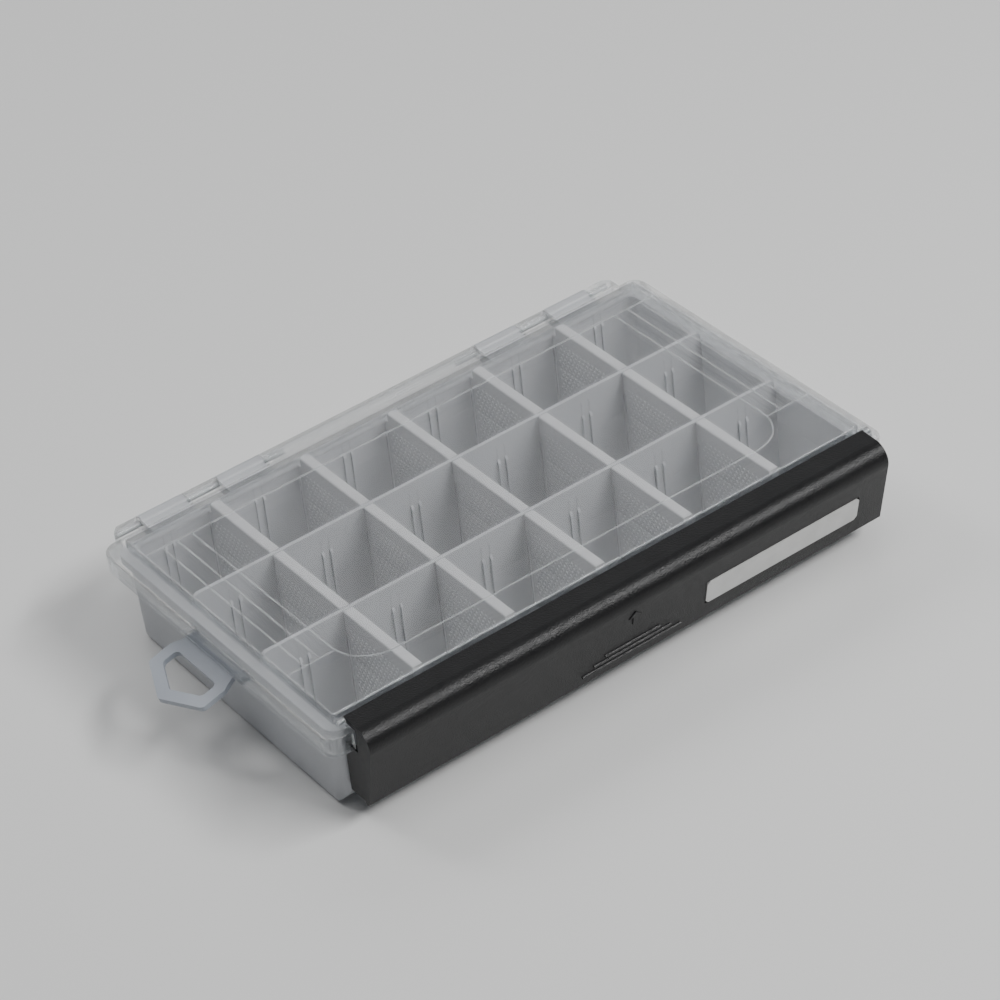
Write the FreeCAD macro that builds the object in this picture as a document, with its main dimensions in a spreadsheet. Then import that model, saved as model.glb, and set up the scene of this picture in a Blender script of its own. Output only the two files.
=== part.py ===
"""Compartment tackle box: clear hinged lid, translucent tray with removable dividers, full-width latch.

Frame: +X along the length, -Y towards the latch, +Z up. The origin is on the floor, under the middle of
the lid's raised panel. All lengths are in millimetres.
"""
import FreeCAD
import Part
import Sketcher
import math
import os
import re

ROWS = ("front", "middle", "rear")
COLUMNS = 5                 # dividers in each row
SLOTS_PER_COLUMN = 2        # every second slot holds a divider
SLOTS = COLUMNS * SLOTS_PER_COLUMN + 1
GRIPS = 3
END_LINES = 2
CHEEK_ROLL_SHARES = (0.45, 0.32)     # a point in the middle of the rolled wall, from its outer corner

# Driving dimensions, one alias each
TRAY_SIZES = [
    ("tray_length", 221.0),         # outside, just under the rim
    ("tray_width", 125.4),
    ("rim_top", 36.5),              # height of the tray
    ("tray_set_back", 1.8),         # middle of the tray behind the middle of the lid panel
    ("tray_draft", 1.0),            # how far each wall leans in at the bottom
    ("tray_corner", 5.0),           # at the bottom
    ("tray_bottom_round", 2.5),
    ("tray_wall", 2.0),
    ("tray_floor", 1.6),
    ("front_round", 8.4),           # inside, where the front wall runs into the floor
    ("front_end_inset", 1.5),       # the round stops short of the end walls
    ("rim_height", 3.0),
    ("rim_side", 2.2),
    ("rim_front", 3.0),
    ("rim_rear", 0.7),
    ("rim_corner", 5.0),
    ("ledge_reach", 7.0),           # the front rim is deeper, for the catch
    ("ledge_side_gap", 1.8),        # between the ends of that ledge and the latch's cheeks
    ("row_wall", 1.3),
    ("row_wall_round", 2.0),
    ("ceiling_gap", 0.3),
    ("first_slot_inset", 15.25),
    ("rib_width", 1.0),
    ("rib_depth", 1.0),
    ("rib_slot", 2.3),
    ("rib_drop", 5.5),              # top of the ribs below the rim
    ("rib_slope", 1.6),             # how far the top of a rib falls away from the wall
]
DIVIDER_SIZES = [
    ("divider_thickness", 4.0),
    ("divider_side_gap", 0.3),
    ("tongue_gap", 0.2),
    ("divider_edge_round", 0.5),
]
LID_SIZES = [
    ("panel_end_inset", 0.5),       # ends of the raised panel inside the tray's ends
    ("panel_side_inset", 0.9),      # half of what the panel is narrower than the tray
    ("panel_corner", 1.0),
    ("panel_rise", 4.2),            # top of the panel above the flange
    ("panel_wall", 1.5),
    ("lid_seat_gap", 0.1),
    ("flange_reach", 6.5),          # outside the panel, all round
    ("flange_thickness", 1.2),
    ("lid_corner", 5.5),
    ("skirt_depth", 7.4),
    ("skirt_wall", 1.4),
    ("front_gap_inset", 9.5),       # the skirt is open behind the latch
    ("lid_edge_round", 0.7),
    ("line_width", 0.4),            # raised lines moulded on the panel
    ("line_height", 0.35),
    ("field_end_inset", 19.0),      # middle field of the panel
    ("field_side_inset", 13.1),
    ("field_corner", 15.0),
    ("end_field_inset", 25.8),
    ("end_line_pitch", 6.0),
]
HINGE_SIZES = [
    ("hinge_out", 5.7),             # hinge axis behind the lid's rear edge
    ("hinge_end_inset", 8.5),
    ("hinge_barrel", 2.8),
    ("hinge_pin", 1.2),
    ("pin_fit", 0.05),
    ("hinge_gap", 0.4),
    ("knuckle", 18.0),
    ("side_lug", 13.2),
    ("end_lug", 10.6),
    ("end_lug_chamfer", 4.0),
    ("pin_bite", 9.0),              # length of the hinge pin inside the middle lug
    ("pin_end_inset", 1.5),
]
LATCH_SIZES = [
    ("latch_left_inset", 9.5),      # ends of the latch inside the lid's ends
    ("latch_right_inset", 6.5),
    ("latch_wall", 2.0),
    ("latch_barrel", 1.3),
    ("latch_barrel_gap", 0.4),
    ("latch_pivot_out", 1.9),       # latch axis in front of the panel's front edge
    ("latch_pin", 0.7),
    ("latch_pin_bite", 8.0),
    ("ear_gap", 0.4),
    ("ear_width", 2.2),
    ("ear_radius", 1.6),
    ("crown_reach", 14.4),          # outer corner of the latch in front of its axis
    ("crown_drop", 0.7),
    ("crown_round", 6.3),
    ("latch_lean", 7.1),            # how far the face leans in from crown to bottom edge
    ("latch_bottom", 7.5),
    ("cheek_rise", 1.3),            # bottom of the cheeks above the bottom edge
    ("cheek_tray_gap", 0.6),
    ("cheek_skirt_gap", 1.2),
    ("cheek_notch_gap", 0.9),
    ("catch_length", 80.0),
    ("catch_gap", 0.3),
    ("catch_tip", 1.0),
    ("catch_rise", 5.0),
    ("latch_edge_round", 0.8),
    ("grip_rise", 0.5),
    ("grip_height", 0.9),
    ("grip_slope", 0.3),
    ("grip_above_edge", 3.8),       # lowest and longest grip ridge above the bottom edge
    ("grip_pitch", 2.3),
    ("grip_longest", 41.7),
    ("grip_step", 9.2),
    ("label_left", 31.0),
    ("label_end_inset", 12.0),
    ("label_above_edge", 7.0),
    ("label_below_roll", 9.0),
    ("label_thickness", 0.8),
    ("label_sunk", 0.5),
    ("label_fit", 0.1),
    ("label_corner", 1.2),
]
LOOP_SIZES = [
    ("loop_middle", 4.3),           # middle of the hanging loop behind the lid's middle
    ("loop_pivot_out", 2.8),        # loop axis outside the tray wall
    ("loop_skirt_gap", 0.7),
    ("loop_barrel", 1.5),
    ("loop_root_width", 28.4),
    ("loop_root_band", 7.2),        # from the axis to the eye
    ("loop_flare_start", 2.5),
    ("loop_width", 32.6),
    ("loop_shoulder", 16.4),
    ("loop_reach", 23.8),
    ("loop_band", 4.4),
    ("loop_thickness", 2.0),
    ("loop_droop", 14.5),           # degrees below level
    ("loop_corner", 2.0),
    ("loop_stub", 0.9),
    ("loop_ear_gap", 0.4),
    ("loop_ear_width", 2.2),
    ("loop_ear_wall", 0.8),
]
OTHER_SIZES = [
    ("overrun", 5.0),               # how far every cut runs past the solid
]
DRIVING = TRAY_SIZES + DIVIDER_SIZES + LID_SIZES + HINGE_SIZES + LATCH_SIZES + LOOP_SIZES + OTHER_SIZES

# Sizes and places that follow from the driving dimensions
DERIVED = [
    ("flange_under", "rim_top + lid_seat_gap"),
    ("flange_top", "flange_under + flange_thickness"),
    ("panel_top", "flange_top + panel_rise"),
    ("skirt_bottom", "flange_top - skirt_depth"),
    ("ceiling", "panel_top - panel_wall"),
    ("rim_under", "rim_top - rim_height"),
    ("front_round_z", "tray_floor + front_round"),
    ("rib_top", "rim_top - rib_drop"),
    ("divider_top", "ceiling - ceiling_gap"),
    ("tray_front", "tray_set_back - tray_width / 2"),
    ("tray_rear", "tray_set_back + tray_width / 2"),
    ("inner_front", "tray_front + tray_wall"),
    ("front_round_y", "inner_front + front_round"),
    ("inner_rear", "tray_rear - tray_wall"),
    ("inner_end", "tray_length / 2 - tray_wall"),
    ("row_width", "(inner_rear - inner_front - 2 * row_wall) / 3"),
    ("slot_pitch", "2 * (inner_end - first_slot_inset) / %d" % (SLOTS - 1)),
    ("ledge_front", "tray_front - ledge_reach"),
    ("rim_front_edge", "tray_front - rim_front"),
    ("panel_length", "tray_length - 2 * panel_end_inset"),
    ("panel_width", "tray_width - 2 * panel_side_inset"),
    ("lid_length", "panel_length + 2 * flange_reach"),
    ("lid_width", "panel_width + 2 * flange_reach"),
    ("front_gap_length", "lid_length - 2 * front_gap_inset"),
    ("field_length", "panel_length - 2 * field_end_inset"),
    ("field_half_width", "panel_width / 2 - field_side_inset"),
    ("end_field_front", "panel_width / 2 - end_field_inset"),
    ("hinge_y", "lid_width / 2 + hinge_out"),
    ("hinge_z", "flange_top - hinge_barrel"),
    ("hinge_end", "lid_length / 2 - hinge_end_inset"),
    ("end_lug_start", "hinge_end - end_lug"),
    ("outer_knuckle_start", "end_lug_start - hinge_gap - knuckle"),
    ("side_lug_start", "outer_knuckle_start - hinge_gap - side_lug"),
    ("knuckle_start", "side_lug_start - hinge_gap - knuckle"),
    ("middle_lug", "2 * (knuckle_start - hinge_gap)"),
    ("rear_gap_length", "2 * hinge_end + hinge_gap"),
    ("latch_left", "-lid_length / 2 + latch_left_inset"),
    ("latch_right", "lid_length / 2 - latch_right_inset"),
    ("latch_length", "latch_right - latch_left"),
    ("ledge_left", "latch_left + latch_wall + ledge_side_gap"),
    ("ledge_right", "latch_right - latch_wall - ledge_side_gap"),
    ("latch_y", "-panel_width / 2 - latch_pivot_out"),
    ("latch_z", "flange_top + latch_barrel_gap + latch_barrel"),
    ("flap_top", "latch_z + latch_barrel"),
    ("crown_y", "latch_y - crown_reach"),
    ("crown_z", "flap_top - crown_drop"),
    ("latch_foot_y", "crown_y + latch_lean"),
    ("lean_share", "latch_lean / (crown_z - latch_bottom)"),
    ("flap_share", "crown_drop / crown_reach"),
    ("inner_crown_in", "latch_wall * (1 + lean_share) / (1 + lean_share * flap_share)"),
    ("inner_crown_down", "latch_wall - flap_share * inner_crown_in"),
    ("grip_low", "latch_bottom + grip_above_edge"),
    ("label_length", "latch_right - label_end_inset - label_left"),
    ("label_bottom", "latch_bottom + label_above_edge"),
    ("label_top", "crown_z - crown_round - label_below_roll"),
    ("cheek_bottom", "latch_bottom + cheek_rise"),
    ("cheek_inner", "tray_front - cheek_tray_gap"),
    ("cheek_top", "skirt_bottom - cheek_skirt_gap"),
    ("cheek_notch", "-lid_width / 2 - cheek_notch_gap"),
    ("catch_edge", "ledge_front - catch_gap"),
    ("catch_top", "rim_under - catch_gap"),
    ("loop_x", "-tray_length / 2 - loop_pivot_out"),
    ("loop_z", "skirt_bottom - loop_skirt_gap - loop_barrel"),
    ("loop_ear_start", "loop_root_width / 2 + loop_ear_gap"),
    ("loop_ear_radius", "loop_stub + loop_ear_wall"),
    ("loop_slope_share", "2 * (loop_reach - loop_shoulder) / loop_width"),
    ("loop_hole_side", "loop_width / 2 - loop_band"),
    ("loop_hole_reach", "loop_reach - loop_band * sqrt(1 + loop_slope_share ^ 2)"),
    ("loop_hole_shoulder", "loop_hole_reach - loop_slope_share * loop_hole_side"),
]

doc = FreeCAD.newDocument("TackleBox")
sizes = doc.addObject("Spreadsheet::Sheet", "Sizes")
NAMES = [name for name, _ in DRIVING + DERIVED]
WORD = re.compile(r"[A-Za-z_]+")


def bound(formula):
    """The formula with every size name pointing at its cell."""
    return WORD.sub(lambda m: "Sizes." + m.group(0) if m.group(0) in NAMES else m.group(0), formula)


def size(formula):
    """The formula's present value as a number."""
    return float(sizes.evalExpression(bound(formula)))


def fill_sheet():
    row = 1
    for name, number in DRIVING:
        sizes.set("A%d" % row, name)
        sizes.set("B%d" % row, repr(number))
        sizes.setAlias("B%d" % row, name)
        row += 1
    for name, formula in DERIVED:
        sizes.set("A%d" % row, name)
        sizes.set("B%d" % row, "=" + formula)
        sizes.setAlias("B%d" % row, name)
        row += 1
    doc.recompute()


def bind(thing, prop, formula):
    thing.setExpression(prop, bound(formula))


# Sketch helpers
def new_body(label):
    body = doc.addObject("PartDesign::Body", label)
    body.Label = label
    return body


def new_sketch(body, plane, offset):
    """A sketch on one of the body's own origin planes, moved along the plane's normal."""
    sketch = body.newObject("Sketcher::SketchObject", "Sketch")
    support = [f for f in body.Origin.OriginFeatures if f.Role == plane][0]
    sketch.AttachmentSupport = (support, [""])
    sketch.MapMode = "FlatFace"
    bind(sketch, "AttachmentOffset.Base.z", offset)
    return sketch


def pin_point(sketch, curve, end, across, up):
    """Tie one point of a sketch to its two formulas."""
    for kind, formula, axis in (("DistanceX", across, -2), ("DistanceY", up, -1)):
        if abs(size(formula)) < Part.Precision.confusion():
            sketch.addConstraint(Sketcher.Constraint("PointOnObject", curve, end, axis))
        else:
            place = sketch.addConstraint(Sketcher.Constraint(kind, -1, 1, curve, end, size(formula)))
            bind(sketch, "Constraints[%d]" % place, formula)


def polygon(sketch, points):
    """A closed outline through points given as formulas."""
    spots = [FreeCAD.Vector(size(across), size(up), 0) for across, up in points]
    first = sketch.GeometryCount
    count = len(points)
    for k in range(count):
        sketch.addGeometry(Part.LineSegment(spots[k], spots[(k + 1) % count]), False)
    for k in range(count):
        sketch.addConstraint(Sketcher.Constraint("Coincident", first + k, 2, first + (k + 1) % count, 1))
    for k in range(count):
        pin_point(sketch, first + k, 1, *points[k])


def rectangle(sketch, left, right, low, high):
    polygon(sketch, [(left, low), (right, low), (right, high), (left, high)])


def rounded_rectangle(sketch, left, right, low, high, radius):
    """Four lines joined by four quarter circles."""
    first = sketch.GeometryCount
    corners = [(right, low, "-", "+"), (right, high, "-", "-"), (left, high, "+", "-"), (left, low, "+", "+")]
    for turn, (across, up, sign_x, sign_y) in enumerate(corners):
        middle = FreeCAD.Vector(size("%s %s (%s)" % (across, sign_x, radius)),
                                size("%s %s (%s)" % (up, sign_y, radius)), 0)
        whole = Part.Circle(middle, FreeCAD.Vector(0, 0, 1), size(radius))
        start = (turn - 1) * math.pi / 2
        sketch.addGeometry(Part.ArcOfCircle(whole, start, start + math.pi / 2), False)
    for turn in range(len(corners)):
        after = (turn + 1) % len(corners)
        begin = sketch.Geometry[first + turn].EndPoint
        end = sketch.Geometry[first + after].StartPoint
        line = sketch.addGeometry(Part.LineSegment(begin, end), False)
        sketch.addConstraint(Sketcher.Constraint("Tangent", first + turn, 2, line, 1))
        sketch.addConstraint(Sketcher.Constraint("Tangent", line, 2, first + after, 1))
    for turn, (across, up, sign_x, sign_y) in enumerate(corners):
        pin_point(sketch, first + turn, 3, "%s %s (%s)" % (across, sign_x, radius),
                  "%s %s (%s)" % (up, sign_y, radius))
    place = sketch.addConstraint(Sketcher.Constraint("Radius", first, size(radius)))
    bind(sketch, "Constraints[%d]" % place, radius)


def round_front_rectangle(sketch, left, right, low, high, radius):
    """A rectangle whose two front corners are quarter circles."""
    first = sketch.GeometryCount
    centres = [("%s + (%s)" % (left, radius), "%s + (%s)" % (low, radius)),
               ("%s - (%s)" % (right, radius), "%s + (%s)" % (low, radius))]
    for turn, (across, up) in enumerate(centres):
        whole = Part.Circle(FreeCAD.Vector(size(across), size(up), 0), FreeCAD.Vector(0, 0, 1), size(radius))
        start = math.pi + turn * math.pi / 2
        sketch.addGeometry(Part.ArcOfCircle(whole, start, start + math.pi / 2), False)
    left_arc, right_arc = [sketch.Geometry[first + turn] for turn in range(2)]
    rear_right = FreeCAD.Vector(size(right), size(high), 0)
    rear_left = FreeCAD.Vector(size(left), size(high), 0)
    runs = [(left_arc.EndPoint, right_arc.StartPoint), (right_arc.EndPoint, rear_right),
            (rear_right, rear_left), (rear_left, left_arc.StartPoint)]
    front, side, rear, other = [sketch.addGeometry(Part.LineSegment(a, b), False) for a, b in runs]
    for kind, one, one_end, two, two_end in (
            ("Tangent", first, 2, front, 1), ("Tangent", front, 2, first + 1, 1),
            ("Tangent", first + 1, 2, side, 1), ("Coincident", side, 2, rear, 1),
            ("Coincident", rear, 2, other, 1), ("Tangent", other, 2, first, 1)):
        sketch.addConstraint(Sketcher.Constraint(kind, one, one_end, two, two_end))
    pin_point(sketch, first, 3, *centres[0])
    pin_point(sketch, first + 1, 3, *centres[1])
    pin_point(sketch, rear, 1, right, high)
    pin_point(sketch, rear, 2, left, high)
    place = sketch.addConstraint(Sketcher.Constraint("Radius", first, size(radius)))
    bind(sketch, "Constraints[%d]" % place, radius)


def outside_quarter(sketch, across, up, radius):
    """The space outside the lower left quarter of a circle."""
    middle = FreeCAD.Vector(size(across), size(up), 0)
    whole = Part.Circle(middle, FreeCAD.Vector(0, 0, 1), size(radius))
    arc = sketch.addGeometry(Part.ArcOfCircle(whole, math.pi, 3 * math.pi / 2), False)
    far_left, far_down = "%s - %s - overrun" % (across, radius), "%s - %s - overrun" % (up, radius)
    corners = [(far_left, up), (far_left, far_down), (across, far_down)]
    spots = [FreeCAD.Vector(size(a), size(b), 0) for a, b in corners]
    spots = [sketch.Geometry[arc].StartPoint] + spots + [sketch.Geometry[arc].EndPoint]
    lines = [sketch.addGeometry(Part.LineSegment(a, b), False) for a, b in zip(spots, spots[1:])]
    joints = [(arc, 1, lines[0], 1), (lines[-1], 2, arc, 2)]
    joints += [(a, 2, b, 1) for a, b in zip(lines, lines[1:])]
    for joint in joints:
        sketch.addConstraint(Sketcher.Constraint("Coincident", *joint))
    pin_point(sketch, arc, 3, across, up)
    for line, corner in zip(lines, corners):
        pin_point(sketch, line, 2, *corner)
    place = sketch.addConstraint(Sketcher.Constraint("Radius", arc, size(radius)))
    bind(sketch, "Constraints[%d]" % place, radius)
    for kind, end, formula in (("DistanceY", 1, up), ("DistanceX", 2, across)):
        place = sketch.addConstraint(Sketcher.Constraint(kind, -1, 1, arc, end, size(formula)))
        bind(sketch, "Constraints[%d]" % place, formula)


def circle(sketch, across, up, radius):
    middle = FreeCAD.Vector(size(across), size(up), 0)
    curve = sketch.addGeometry(Part.Circle(middle, FreeCAD.Vector(0, 0, 1), size(radius)), False)
    pin_point(sketch, curve, 3, across, up)
    place = sketch.addConstraint(Sketcher.Constraint("Radius", curve, size(radius)))
    bind(sketch, "Constraints[%d]" % place, radius)


def pad(body, sketch, length):
    feature = body.newObject("PartDesign::Pad", "Pad")
    feature.Profile = sketch
    bind(feature, "Length", length)
    doc.recompute()
    return feature


def pocket(body, sketch, length, along=False):
    """Cut against the sketch's normal, or along it."""
    before = body.Shape.Volume
    feature = body.newObject("PartDesign::Pocket", "Pocket")
    feature.Profile = sketch
    feature.Reversed = along
    bind(feature, "Length", length)
    doc.recompute()
    if body.Shape.Volume >= before:
        raise RuntimeError("a pocket of %s cut nothing" % body.Label)
    return feature


def edge_names(shape, wanted):
    return ["Edge%d" % (k + 1) for k, edge in enumerate(shape.Edges) if wanted(edge)]


def round_edges(body, wanted, radius):
    names = edge_names(body.Shape, wanted)
    if not names:
        raise RuntimeError("no edge to round on %s" % body.Label)
    base = body.Tip
    feature = body.newObject("PartDesign::Fillet", "Fillet")
    feature.Base = (base, names)
    bind(feature, "Radius", radius)
    doc.recompute()
    return feature


def chamfer_edges(body, wanted, setback):
    base = body.Tip
    feature = body.newObject("PartDesign::Chamfer", "Chamfer")
    feature.Base = (base, edge_names(base.Shape, wanted))
    bind(feature, "Size", setback)
    doc.recompute()
    return feature


# Tests that pick edges
NEAR = 1e-4


def near(a, b):
    return abs(a - b) < NEAR


def upright_at(across, deep):
    """Upright edges whose foot is at one of the given X and Y distances."""
    def wanted(edge):
        a, b = edge.Vertexes[0].Point, edge.Vertexes[-1].Point
        straight = near(a.x, b.x) and near(a.y, b.y) and not near(a.z, b.z)
        return straight and any(near(abs(a.x), x) for x in across) and any(near(a.y, y) for y in deep)
    return wanted


def level_at(height):
    """Edges that lie wholly at one height."""
    def wanted(edge):
        middle = edge.valueAt((edge.FirstParameter + edge.LastParameter) / 2)
        return all(near(spot.z, height) for spot in [middle] + [v.Point for v in edge.Vertexes])
    return wanted


def along_length_at(deep, height):
    """Edges along X through one point of the section."""
    def wanted(edge):
        box = edge.BoundBox
        return near(box.YLength, 0) and near(box.ZLength, 0) and near(box.YMin, deep) and near(box.ZMin, height)
    return wanted


# Tray
def row_front(row):
    return "inner_front + %d * (row_width + row_wall)" % row


def row_rear(row):
    return row_front(row) + " + row_width"


def tray_shell(body):
    foot = new_sketch(body, "XY_Plane", "0")
    rounded_rectangle(foot, "-tray_length / 2 + tray_draft", "tray_length / 2 - tray_draft",
                      "tray_front + tray_draft", "tray_rear - tray_draft", "tray_corner")
    walls = pad(body, foot, "rim_top")
    bind(walls, "TaperAngle", "atan(tray_draft / rim_top)")
    doc.recompute()
    round_edges(body, level_at(0), "tray_bottom_round")


def tray_rim(body):
    sketch = new_sketch(body, "XY_Plane", "rim_under")
    side = "tray_length / 2 + rim_side"
    rear = "tray_rear + rim_rear"
    polygon(sketch, [
        ("-(%s)" % side, rear), ("-(%s)" % side, "rim_front_edge"),
        ("ledge_left", "rim_front_edge"), ("ledge_left", "ledge_front"),
        ("ledge_right", "ledge_front"), ("ledge_right", "rim_front_edge"),
        (side, "rim_front_edge"), (side, rear)])
    pad(body, sketch, "rim_height")
    round_edges(body, upright_at([size(side)], [size(rear), size("rim_front_edge")]), "rim_corner")


def tray_hollow(body):
    """The inside: upright walls with rounded corners, and a wide round from the front wall into the floor."""
    corner = "tray_corner + tray_draft - tray_wall"
    for front, depth in (("inner_front", "rim_top - front_round_z"), ("front_round_y", "rim_top - tray_floor")):
        hollow = new_sketch(body, "XY_Plane", "rim_top")
        rounded_rectangle(hollow, "-inner_end", "inner_end", front, "inner_rear", corner)
        pocket(body, hollow, depth)
    square = new_sketch(body, "XY_Plane", "rim_top")
    rectangle(square, "-inner_end", "inner_end", "front_round_y", "front_round_y + front_round")
    pocket(body, square, "rim_top - tray_floor")
    groove = new_sketch(body, "YZ_Plane", "inner_end - front_end_inset")
    circle(groove, "front_round_y", "front_round_z", "front_round")
    pocket(body, groove, "2 * (inner_end - front_end_inset)")
    outside = new_sketch(body, "YZ_Plane", "tray_length / 2 + overrun")
    outside_quarter(outside, "front_round_y", "front_round_z", "(front_round + tray_floor)")
    pocket(body, outside, "tray_length + 2 * overrun")


def tray_rows(body):
    """Two walls part the rows, and rise into the lid's panel."""
    top_half = "(panel_length / 2 - panel_wall - divider_side_gap)"
    for half, low, high in (("(inner_end + tray_wall / 4)", "tray_floor", "rim_top"),
                            (top_half, "rim_top", "divider_top")):
        walls = new_sketch(body, "XY_Plane", low)
        for row in range(len(ROWS) - 1):
            rectangle(walls, "-" + half, half, row_rear(row), row_rear(row) + " + row_wall")
        pad(body, walls, "%s - %s" % (high, low))
    end, top = size(top_half), size("divider_top")

    def top_end(edge):
        a, b = edge.Vertexes[0].Point, edge.Vertexes[-1].Point
        return near(a.x, b.x) and near(abs(a.x), end) and near(a.z, top) and near(b.z, top)
    round_edges(body, top_end, "row_wall_round")


def tray_slots(body):
    """Pairs of upright ribs on both sides of every row, repeated along the length."""
    first = "-%d * slot_pitch / 2" % (SLOTS - 1)
    ribs = []
    for left in (first + " - rib_slot / 2 - rib_width", first + " + rib_slot / 2"):
        sketch = new_sketch(body, "YZ_Plane", left)
        for row in range(len(ROWS)):
            front_foot = "tray_floor + front_round / 2" if row == 0 else "tray_floor"
            for wall, reach, foot in ((row_front(row), " + rib_depth", front_foot),
                                      (row_rear(row), " - rib_depth", "tray_floor")):
                polygon(sketch, [
                    (wall, foot), (wall + reach, foot),
                    (wall + reach, "rib_top - rib_slope"), (wall, "rib_top")])
        ribs.append(pad(body, sketch, "rib_width"))
    pattern = body.newObject("PartDesign::LinearPattern", "Slots")
    pattern.Originals = ribs
    length_axis = [f for f in body.Origin.OriginFeatures if f.Role == "X_Axis"][0]
    pattern.Direction = (length_axis, [""])
    bind(pattern, "Length", "%d * slot_pitch" % (SLOTS - 1))
    pattern.Occurrences = SLOTS
    body.Tip = pattern
    doc.recompute()


def tray_knuckles(body):
    for start in ("knuckle_start", "outer_knuckle_start"):
        for left in (start, "-(%s) - knuckle" % start):
            arm = new_sketch(body, "YZ_Plane", left)
            rectangle(arm, "tray_rear - tray_wall / 2", "hinge_y",
                      "hinge_z - hinge_barrel", "hinge_z + hinge_barrel / 2")
            pad(body, arm, "knuckle")
            barrel = new_sketch(body, "YZ_Plane", left)
            circle(barrel, "hinge_y", "hinge_z", "hinge_barrel")
            pad(body, barrel, "knuckle")
    bore = new_sketch(body, "YZ_Plane", "hinge_end")
    circle(bore, "hinge_y", "hinge_z", "hinge_pin + pin_fit")
    pocket(body, bore, "2 * hinge_end")


def tray_loop_ears(body):
    """Two ears under the rim at one end carry the hanging loop."""
    for near_face in ("-loop_middle - loop_ear_start - loop_ear_width", "-loop_middle + loop_ear_start"):
        arm = new_sketch(body, "XZ_Plane", near_face)
        rectangle(arm, "loop_x", "-tray_length / 2 + tray_wall / 2",
                  "loop_z - loop_ear_radius", "loop_z + loop_ear_radius")
        pad(body, arm, "loop_ear_width")
        tip = new_sketch(body, "XZ_Plane", near_face)
        circle(tip, "loop_x", "loop_z", "loop_ear_radius")
        pad(body, tip, "loop_ear_width")
    bore = new_sketch(body, "XZ_Plane", "-loop_middle + loop_ear_start + loop_ear_width + overrun")
    circle(bore, "loop_x", "loop_z", "loop_stub + pin_fit")
    pocket(body, bore, "2 * (loop_ear_start + loop_ear_width + overrun)")


def make_tray():
    body = new_body("tray")
    tray_shell(body)
    tray_rim(body)
    tray_hollow(body)
    tray_rows(body)
    tray_knuckles(body)
    tray_loop_ears(body)
    tray_slots(body)
    return body


# Dividers
def make_divider(row, column):
    """A thick plate with thin end tongues that slide down between the ribs."""
    body = new_body("divider_%s_%d" % (ROWS[row], column + 1))
    middle = "%d * slot_pitch" % (SLOTS_PER_COLUMN * column - COLUMNS + 1)
    front = row_front(row) + " + divider_side_gap"
    rear = row_rear(row) + " - divider_side_gap"
    rib_front = front + " + rib_depth"
    rib_rear = rear + " - rib_depth"
    shoulder = "rib_top + divider_side_gap"
    lid_rear = "panel_width / 2 - panel_wall - divider_side_gap"
    plate = new_sketch(body, "YZ_Plane", middle + " - divider_thickness / 2")
    outline = [(rib_front, "tray_floor"), (rib_rear, "tray_floor"), (rib_rear, shoulder), (rear, shoulder)]
    if size(rear) > size(lid_rear):
        outline += [(rear, "rim_top"), (lid_rear, "rim_top"), (lid_rear, "divider_top")]
    else:
        outline += [(rear, "divider_top")]
    outline += [(front, "divider_top"), (front, shoulder), (rib_front, shoulder)]
    polygon(plate, outline)
    pad(body, plate, "divider_thickness")
    if row == 0:
        round_edges(body, along_length_at(size(rib_front), size("tray_floor")), "front_round")
    tongue = new_sketch(body, "YZ_Plane", middle + " - rib_slot / 2 + tongue_gap")
    rectangle(tongue, front, rear, "tray_floor", shoulder)
    pad(body, tongue, "rib_slot - 2 * tongue_gap")
    if row == 0:
        round_edges(body, along_length_at(size(front), size("tray_floor")), "front_round")
    top = size("divider_top")

    def top_side(edge):
        box = edge.BoundBox
        return near(box.ZMin, top) and near(box.ZMax, top) and near(box.XLength, 0)
    round_edges(body, top_side, "divider_edge_round")
    return body


# Lid
def lid_shell(body):
    rim = new_sketch(body, "XY_Plane", "skirt_bottom")
    rectangle(rim, "-lid_length / 2", "lid_length / 2", "-lid_width / 2", "lid_width / 2")
    pad(body, rim, "flange_top - skirt_bottom")
    half_length, half_width = size("lid_length / 2"), size("lid_width / 2")
    round_edges(body, upright_at([half_length], [half_width, -half_width]), "lid_corner")
    round_edges(body, level_at(size("flange_top")), "lid_edge_round")
    panel = new_sketch(body, "XY_Plane", "flange_top")
    rectangle(panel, "-panel_length / 2", "panel_length / 2", "-panel_width / 2", "panel_width / 2")
    pad(body, panel, "panel_top - flange_top")
    half_length, half_width = size("panel_length / 2"), size("panel_width / 2")
    round_edges(body, upright_at([half_length], [half_width, -half_width]), "panel_corner")
    round_edges(body, level_at(size("panel_top")), "lid_edge_round")


def lid_hollows(body):
    under = new_sketch(body, "XY_Plane", "skirt_bottom")
    side = "lid_length / 2 - skirt_wall"
    deep = "lid_width / 2 - skirt_wall"
    rounded_rectangle(under, "-(%s)" % side, side, "-(%s)" % deep, deep, "lid_corner - skirt_wall")
    pocket(body, under, "flange_under - skirt_bottom", along=True)
    gaps = new_sketch(body, "XY_Plane", "skirt_bottom")
    inner, outer = "(lid_width / 2 - 2 * skirt_wall)", "(lid_width / 2 + overrun)"
    rectangle(gaps, "-front_gap_length / 2", "front_gap_length / 2", "-" + outer, "-" + inner)
    rectangle(gaps, "-rear_gap_length / 2", "rear_gap_length / 2", inner, outer)
    pocket(body, gaps, "flange_under - skirt_bottom", along=True)
    inside = new_sketch(body, "XY_Plane", "skirt_bottom")
    rectangle(inside, "-panel_length / 2 + panel_wall", "panel_length / 2 - panel_wall",
              "-panel_width / 2 + panel_wall", "panel_width / 2 - panel_wall")
    pocket(body, inside, "ceiling - skirt_bottom", along=True)


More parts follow.
